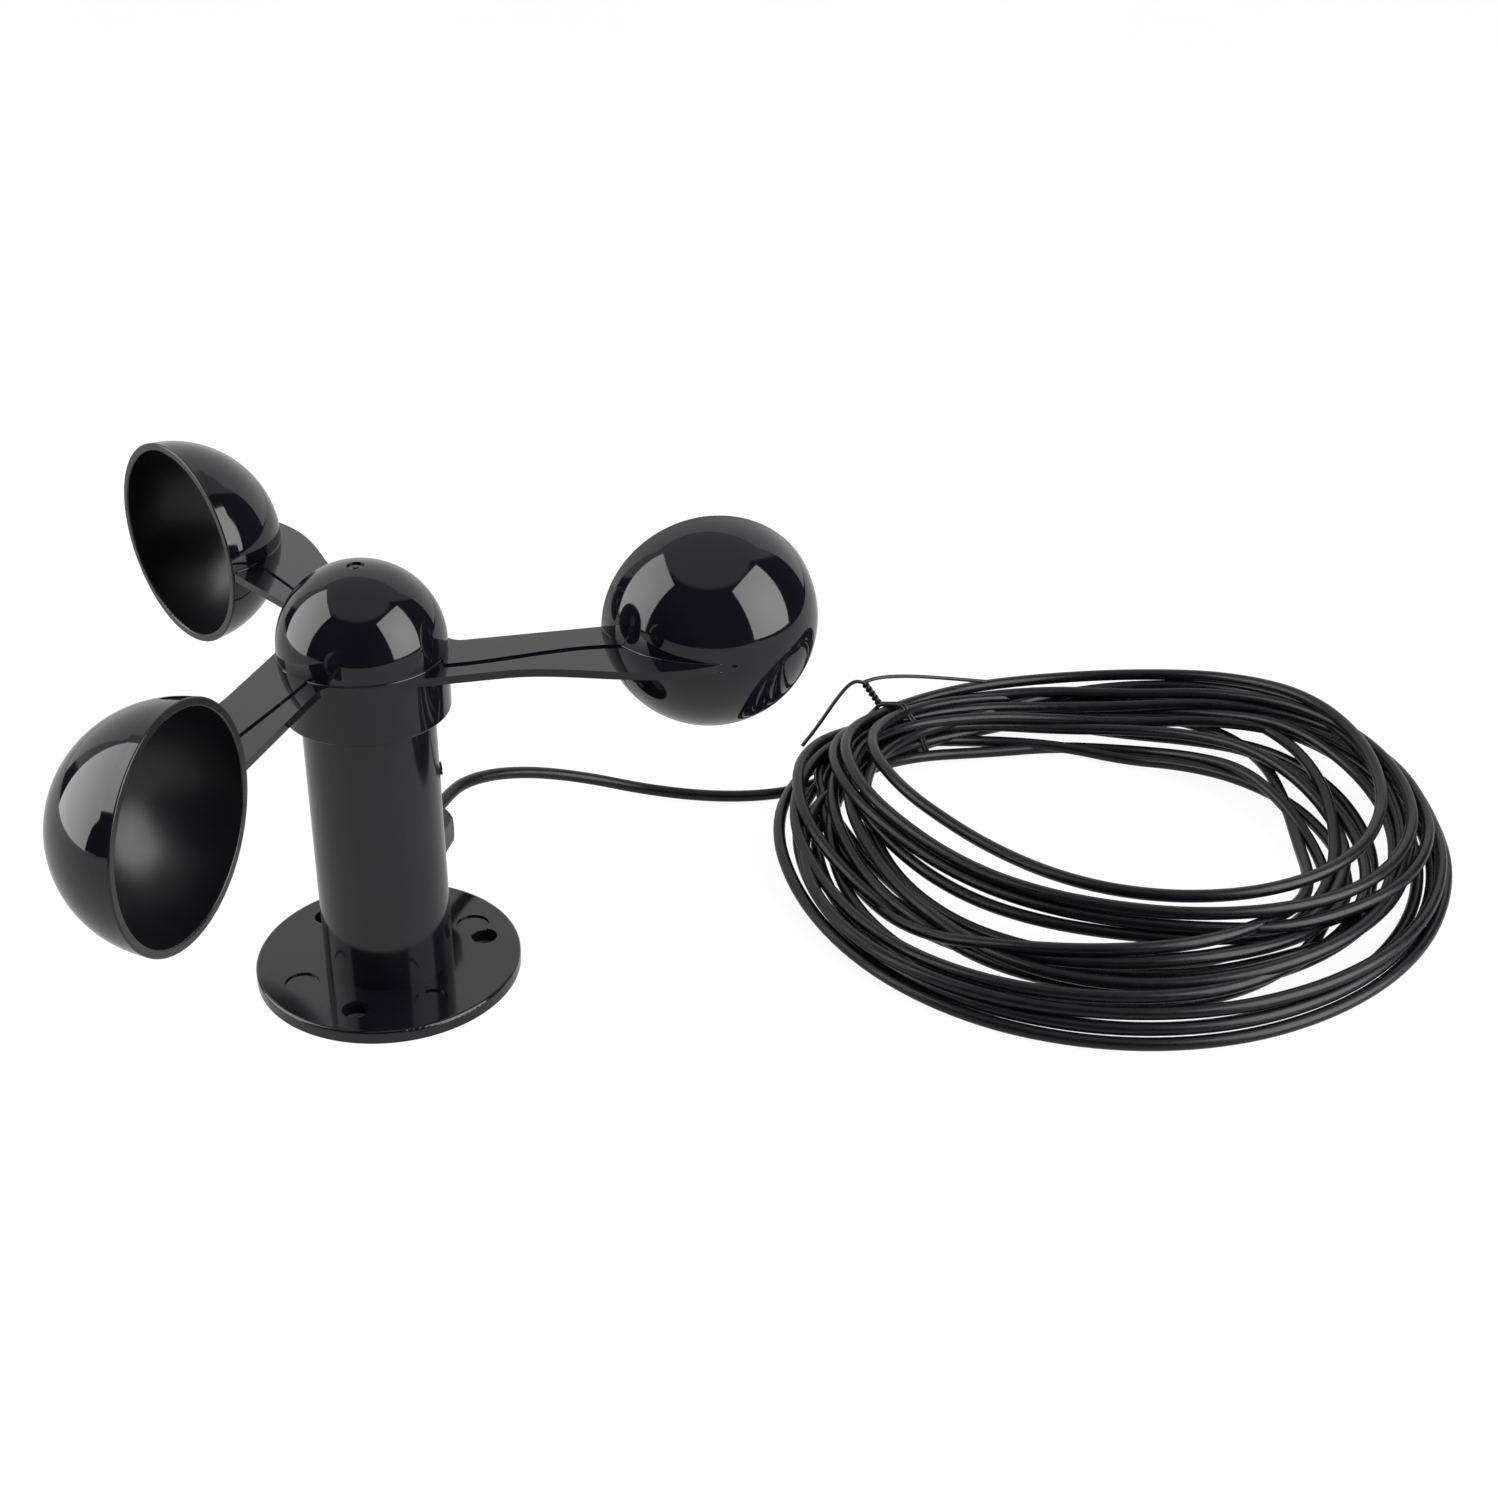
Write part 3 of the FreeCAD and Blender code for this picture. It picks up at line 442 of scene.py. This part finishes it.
def wanted_turns(travelled):
    """Radius and height that each turn aims for, before the turns make room for each other."""
    cells = tie_cells()
    inner_at_tie, outer_at_tie = INNER_EDGE[0][1], OUTER_EDGE[0][1]
    places = []
    heights = []
    for k in range(TURNS + 1):
        radius, height = cells[k]
        places.append((360 * k, (radius - inner_at_tie) / (outer_at_tie - inner_at_tie)))
        heights.append((360 * k, height))
        if k < TURNS:
            places += [(360 * k + station, q) for station, (q, z) in zip(STATIONS, TURN_PATHS[k])]
            heights += [(360 * k + station, z) for station, (q, z) in zip(STATIONS, TURN_PATHS[k])]
    along = 360 * np.arange(TURNS)[:, None] + travelled[None, :]
    inner = through(travelled, INNER_EDGE)
    outer = through(travelled, OUTER_EDGE)
    height = through(along, heights) + through(travelled, RISE)
    return inner + (outer - inner) * through(along, places), height


def stiffen(field):
    """One pass of the cable's bending stiffness along its whole length."""
    line = field.reshape(-1)
    eased = line.copy()
    eased[2:-2] = (-line[:-4] + 4 * line[1:-3] + 10 * line[2:-2] + 4 * line[3:-1] - line[4:]) / 16
    field[:] = eased.reshape(field.shape)


def settled_turns():
    """Turns pushed one pitch apart and kept above the floor, as azimuths, radii and heights."""
    travelled = 360 * np.arange(SAMPLES) / SAMPLES
    want_r, want_z = wanted_turns(travelled)
    want_z = np.maximum(want_z, CABLE_R)
    radius = want_r.copy()
    height = want_z.copy()
    for _ in range(SETTLE_ROUNDS):
        height += (want_z - height) * PULL_HEIGHT
        radius += (want_r - radius) * PULL_RADIUS
        dr = radius[:, None, :] - radius[None, :, :]
        dz = height[:, None, :] - height[None, :, :]
        gap = np.hypot(dr, dz) + 1e-9
        push = np.clip(PITCH - gap, 0, None) * 0.5
        radius += (push * dr / gap).sum(1) * PUSH_RADIUS
        height += (push * dz / gap).sum(1) * PUSH_HEIGHT
        stiffen(radius)
        stiffen(height)
        height = np.maximum(height, CABLE_R)
    return TIE_AZIMUTH - travelled, radius, height


def coil_points(azimuth, radius, height):
    points = []
    for k in range(TURNS):
        for i in range(0, SAMPLES, KEEP_EVERY):
            if k == TURNS - 1 and i > LAST_TURN * SAMPLES:
                break
            points.append(polar(radius[k, i], azimuth[i], height[k, i], COIL_CENTRE))
    return points


def spline_length(obj):
    mesh = bpy.data.meshes.new_from_object(obj)
    points = [v.co for v in mesh.vertices]
    bpy.data.meshes.remove(mesh)
    return sum((b - a).length for a, b in zip(points, points[1:]))


def make_cable(turns):
    obj = add_curve("free_cable", [ROUTE + coil_points(*turns)], 0.0, JACKET, 8)
    length = spline_length(obj)
    obj.data.bevel_depth = CABLE_R
    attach(obj, "base")
    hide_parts("cable", "cable_coil")
    return obj, length


def tie_point(radius, z, along=0.0):
    """A point at the tie: radius from the coil's centre, height, and distance along the cable."""
    ahead = Vector((math.sin(math.radians(TIE_AZIMUTH)), -math.cos(math.radians(TIE_AZIMUTH)), 0))
    return polar(radius, TIE_AZIMUTH, z, COIL_CENTRE) + ahead * along


def make_tie(turns):
    """Twist wire: two wraps round the bundle, a twisted stem and two free ends."""
    _, radius, height = turns
    cells = list(zip(radius[:, 0], height[:, 0]))
    reach = CABLE_R + TIE_WIRE_R + TIE_GAP
    loop = []
    for i in range(2 * WRAP_STEPS + 1):
        angle = math.radians(TIE_START + 360 * i / WRAP_STEPS)
        aim = (math.cos(angle), math.sin(angle))
        r, z = max(cells, key=lambda cell: cell[0] * aim[0] + cell[1] * aim[1])
        slant = TIE_PITCH * (i / WRAP_STEPS - 1) - TIE_SLANT * (r - TIE_R)
        loop.append(tie_point(r + reach * aim[0], max(z + reach * aim[1], TIE_WIRE_R), slant))
    foot = loop[0].lerp(loop[-1], 0.5)
    top = foot + Vector(TIE_STEM)
    axis = (top - foot).normalized()
    side = axis.cross(Vector((0, 0, 1))).normalized()
    across = axis.cross(side)
    strands = []
    for start in (0.0, math.pi):
        helix = []
        for i in range(TWIST_STEPS + 1):
            turn = start + 2 * math.pi * TWIST_TURNS * i / TWIST_STEPS
            middle = foot.lerp(top, i / TWIST_STEPS)
            out = side * math.cos(turn) + across * math.sin(turn)
            helix.append(middle + out * TIE_WIRE_R * TWIST_SPREAD)
        strands.append(helix)
    left = [top + Vector(p) for p in TIE_LEFT_END]
    right = [top + Vector(p) for p in TIE_RIGHT_END]
    obj = add_curve("twist_tie", [loop, strands[0] + left, strands[1] + right], TIE_WIRE_R, TIE_PVC, 4)
    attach(obj, "base")
    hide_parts("wire_tie")
    return obj


def make_leads(end):
    """Three insulated leads that fan out of the jacket, with tinned ends."""
    pieces = []
    first, last = LEAD_AZIMUTHS
    for number, (radius, material) in enumerate(zip(LEAD_RADII, (RED_WIRE, BLACK_WIRE, YELLOW_WIRE))):
        line = [Vector(end) + Vector((0, 0, LEAD_STACK * (number - 1)))]
        start = (line[0].xy - Vector(COIL_CENTRE)).length
        for i in range(1, LEAD_STEPS + 1):
            part = i / LEAD_STEPS
            r = start + (radius - start) * float(smooth(part * LEAD_FAN))
            z = CABLE_R + (LEAD_R + LEAD_LIFT - CABLE_R) * float(smooth(part * LEAD_DROP))
            azimuth = first + (last - first) * part * LEAD_JACKET_END
            line.append(polar(r, azimuth, z, COIL_CENTRE))
        jacket = add_curve("lead_%d" % (number + 1), [line], LEAD_R, material, 5)
        tip = [line[-1]]
        for part in LEAD_CORE_PARTS:
            tip.append(polar(radius, first + (last - first) * part, LEAD_R + LEAD_LIFT, COIL_CENTRE))
        core = add_curve("lead_core_%d" % (number + 1), [tip], LEAD_CORE_R, TINNED, 5)
        pieces += [jacket, core]
        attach(jacket, "base")
        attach(core, "base")
        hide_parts("cable_leads")
    return pieces


# Moulded beads on the rotor

def swept(name, rings, closed, material):
    """Mesh through a row of equal sections."""
    count = len(rings[0])
    points = [p for ring in rings for p in ring]
    faces = []
    steps = len(rings) if closed else len(rings) - 1
    for i in range(steps):
        a, b = i * count, ((i + 1) % len(rings)) * count
        faces += [(a + j, a + (j + 1) % count, b + (j + 1) % count, b + j) for j in range(count)]
    if not closed:
        faces.append(tuple(reversed(range(count))))
        faces.append(tuple(range((len(rings) - 1) * count, len(rings) * count)))
    return add_mesh(name, points, faces, material)


def bead_section(radius, z, size):
    """Round section of a bead, as radius and height, half sunk into the corner it runs along."""
    angles = [2 * math.pi * i / BEAD_SIDES for i in range(BEAD_SIDES)]
    return [(radius + size * math.cos(angle), z + size * math.sin(angle)) for angle in angles]


def make_cup_beads(number, turn):
    """Fine beads where an arm's top and underside run into its cup."""
    centre = (CUP_CIRCLE_R, 0.0)
    along, across = polar(1, turn), polar(1, turn + 90)
    for side, z in (("top", ARM_TOP_Z), ("under", ARM_BOTTOM_Z)):
        wall = math.sqrt(CUP_R ** 2 - (z - CUP_Z) ** 2)
        rings = []
        for i in range(CUP_BEAD_STEPS + 1):
            azimuth = CUP_BEAD_START + CUP_BEAD_SWEEP * i / CUP_BEAD_STEPS
            size = BEAD_R * min(1.0, BEAD_TIP + min(i, CUP_BEAD_STEPS - i) / BEAD_TIP_STEPS)
            section = [polar(r, azimuth, height, centre) for r, height in bead_section(wall, z, size)]
            rings.append([along * p.x + across * p.y + Vector((0, 0, p.z)) for p in section])
        obj = swept("cup_bead_%s_%d" % (side, number), rings, False, GLOSS)
        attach(obj, "rotor")


def make_dome_bead():
    """Fine bead round the foot of the dome."""
    wall = math.sqrt(DOME_R ** 2 - (DOME_CENTRE_Z - ARM_TOP_Z) ** 2)
    rings = []
    for i in range(DOME_BEAD_STEPS):
        azimuth = 360 * i / DOME_BEAD_STEPS
        rings.append([polar(r, azimuth, z) for r, z in bead_section(wall, ARM_TOP_Z, BEAD_R)])
    obj = swept("dome_bead", rings, True, GLOSS)
    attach(obj, "rotor")


# Studio

def emitter(name, corners, strength, hot=0.0):
    """Card that gives light but isn't seen directly; hot brightens its middle."""
    mat = bpy.data.materials.new(name)
    mat.use_nodes = True
    tree = mat.node_tree
    tree.nodes.remove(tree.nodes["Principled BSDF"])
    light = tree.nodes.new("ShaderNodeEmission")
    light.inputs["Color"].default_value = (1, 1, 1, 1)
    light.inputs["Strength"].default_value = strength
    if hot:
        place = tree.nodes.new("ShaderNodeUVMap")
        away = tree.nodes.new("ShaderNodeVectorMath")
        away.operation = "DISTANCE"
        away.inputs[1].default_value = HOT_SPOT
        fall = tree.nodes.new("ShaderNodeMapRange")
        fall.inputs["From Min"].default_value = 0.0
        fall.inputs["From Max"].default_value = HOT_REACH
        fall.inputs["To Min"].default_value = strength * (1 + hot)
        fall.inputs["To Max"].default_value = strength * (1 - hot)
        tree.links.new(place.outputs["UV"], away.inputs[0])
        tree.links.new(away.outputs["Value"], fall.inputs["Value"])
        tree.links.new(fall.outputs["Result"], light.inputs["Strength"])
    tree.links.new(light.outputs["Emission"], tree.nodes["Material Output"].inputs["Surface"])
    obj = add_mesh(name, corners, [(0, 1, 2, 3)], mat, False)
    layer = obj.data.uv_layers.new(name="UVMap")
    for loop, uv in zip(layer.data, ((0, 0), (1, 0), (1, 1), (0, 1))):
        loop.uv = uv
    obj.visible_camera = False


def softbox(name, direction, strength):
    """Rectangular softbox a metre away, facing the object."""
    azimuth, elevation = (math.radians(a) for a in direction)
    aim = Vector((math.cos(azimuth) * math.cos(elevation), math.sin(azimuth) * math.cos(elevation),
                  math.sin(elevation)))
    side = Vector((-math.sin(azimuth), math.cos(azimuth), 0))
    up = aim.cross(side)
    middle = Vector(STUDIO_CENTRE) + aim
    half_w, half_h = SOFTBOX_HALF
    corners = [middle + side * (half_w * a) + up * (half_h * b)
               for a, b in ((-1, -1), (1, -1), (1, 1), (-1, 1))]
    for corner in corners:
        corner.z = max(corner.z, SOFTBOX_LOWEST_Z)
    emitter(name, corners, strength, SOFTBOX_HOT)


def backdrop():
    """Large dim card that stands behind the object and shows in its reflections."""
    middle = polar(BACKDROP_DISTANCE, BACKDROP_AZIMUTH)
    side = polar(BACKDROP_HALF_W, BACKDROP_AZIMUTH - 90)
    top = Vector((0, 0, BACKDROP_TOP))
    corners = [middle - side, middle + side, middle + side + top, middle - side + top]
    emitter("backdrop", corners, BACKDROP_LIGHT)


def mix(tree, factor, low, high):
    """A number between two values, by a factor's output."""
    node = tree.nodes.new("ShaderNodeMapRange")
    node.inputs["To Min"].default_value = low
    node.inputs["To Max"].default_value = high
    tree.links.new(factor, node.inputs["Value"])
    return node.outputs["Result"]


def floor():
    """White to the camera, dimmer in reflections, and with painted shade under the flange, where its glow
    is switched off.
    """
    mat, tree, bsdf = new_material("floor_white")
    tree.links.new(ramp(tree, noise(tree, 6, 2.0), grey(0.10), grey(0.11)), bsdf.inputs["Base Color"])
    bsdf.inputs["Roughness"].default_value = 0.9
    bsdf.inputs["Specular IOR Level"].default_value = 0.0
    bsdf.inputs["Emission Color"].default_value = (1, 1, 1, 1)
    path = tree.nodes.new("ShaderNodeLightPath")
    place = tree.nodes.new("ShaderNodeNewGeometry")
    away = tree.nodes.new("ShaderNodeVectorMath")
    away.operation = "LENGTH"
    tree.links.new(place.outputs["Position"], away.inputs[0])
    # Painted shade: no glow within the flange's radius of the centre, so the floor is dark under the flange
    outside = tree.nodes.new("ShaderNodeMath")
    outside.operation = "GREATER_THAN"
    outside.inputs[1].default_value = PAINTED_SHADE_R
    tree.links.new(away.outputs["Value"], outside.inputs[0])
    glow = tree.nodes.new("ShaderNodeMath")
    glow.operation = "MULTIPLY"
    brightness = mix(tree, path.outputs["Is Camera Ray"], FLOOR_IN_REFLECTIONS, FLOOR_LIGHT)
    tree.links.new(brightness, glow.inputs[0])
    tree.links.new(outside.outputs["Value"], glow.inputs[1])
    tree.links.new(glow.outputs["Value"], bsdf.inputs["Emission Strength"])
    corners = [(-1.6, -0.68, 0), (0.55, -0.68, 0), (1.6, 1.9, 0), (-1.6, 1.9, 0)]
    add_mesh("floor", corners, [(0, 1, 2, 3)], mat, False)


def world():
    """White to the camera; to all else a dim room whose pale ceiling comes lower towards the back."""
    scene_world = bpy.data.worlds.new("studio")
    bpy.context.scene.world = scene_world
    scene_world.use_nodes = True
    tree = scene_world.node_tree
    nodes = tree.nodes
    place = nodes.new("ShaderNodeTexCoord")
    split = nodes.new("ShaderNodeSeparateXYZ")
    behind = nodes.new("ShaderNodeMath")
    behind.operation = "MAXIMUM"
    behind.inputs[1].default_value = 0.0
    upward = nodes.new("ShaderNodeMath")
    upward.operation = "MULTIPLY_ADD"
    upward.inputs[1].default_value = CEILING_TOWARDS_BACK
    ceiling = nodes.new("ShaderNodeMapRange")
    ceiling.interpolation_type = "SMOOTHSTEP"
    ceiling.inputs["From Min"].default_value = CEILING_EDGE[0]
    ceiling.inputs["From Max"].default_value = CEILING_EDGE[1]
    ceiling.inputs["To Min"].default_value = ROOM_LIGHT
    ceiling.inputs["To Max"].default_value = CEILING_LIGHT
    path = nodes.new("ShaderNodeLightPath")
    choose = nodes.new("ShaderNodeMix")
    choose.data_type = "FLOAT"
    choose.inputs["B"].default_value = 1.0
    tree.links.new(place.outputs["Generated"], split.inputs["Vector"])
    tree.links.new(split.outputs["Y"], behind.inputs[0])
    tree.links.new(behind.outputs["Value"], upward.inputs[0])
    tree.links.new(split.outputs["Z"], upward.inputs[2])
    tree.links.new(upward.outputs["Value"], ceiling.inputs["Value"])
    tree.links.new(path.outputs["Is Camera Ray"], choose.inputs["Factor"])
    tree.links.new(ceiling.outputs["Result"], choose.inputs["A"])
    nodes["Background"].inputs["Color"].default_value = (1, 1, 1, 1)
    tree.links.new(choose.outputs["Result"], nodes["Background"].inputs["Strength"])


def camera():
    data = bpy.data.cameras.new("camera")
    data.lens = CAMERA_LENS
    data.sensor_width = 36
    data.clip_start = 0.01
    data.clip_end = 20
    obj = add_object("camera", data)
    obj.location = CAMERA_PLACE
    yaw = Euler((0, 0, -CAMERA_YAW)).to_matrix()
    pitch = Euler((math.pi / 2 - CAMERA_PITCH, 0, 0)).to_matrix()
    roll = Euler((0, 0, CAMERA_ROLL)).to_matrix()
    obj.rotation_euler = (yaw @ pitch @ roll).to_euler()
    bpy.context.scene.camera = obj


camera()
world()
floor()
backdrop()
softbox("left_softbox", LEFT_BOX, LEFT_LIGHT)
softbox("right_softbox", RIGHT_BOX, RIGHT_LIGHT)
bpy.context.scene.view_settings.view_transform = "Standard"

dress_nodes()
dress_cups()
coil_turns = settled_turns()
cable, cable_length = make_cable(coil_turns)
tie = make_tie(coil_turns)
leads = make_leads(cable.data.splines[0].points[-1].co[:3])
for cup_number, cup_turn in enumerate(TURN_ANGLES, 1):
    make_cup_beads(cup_number, cup_turn)
make_dome_bead()
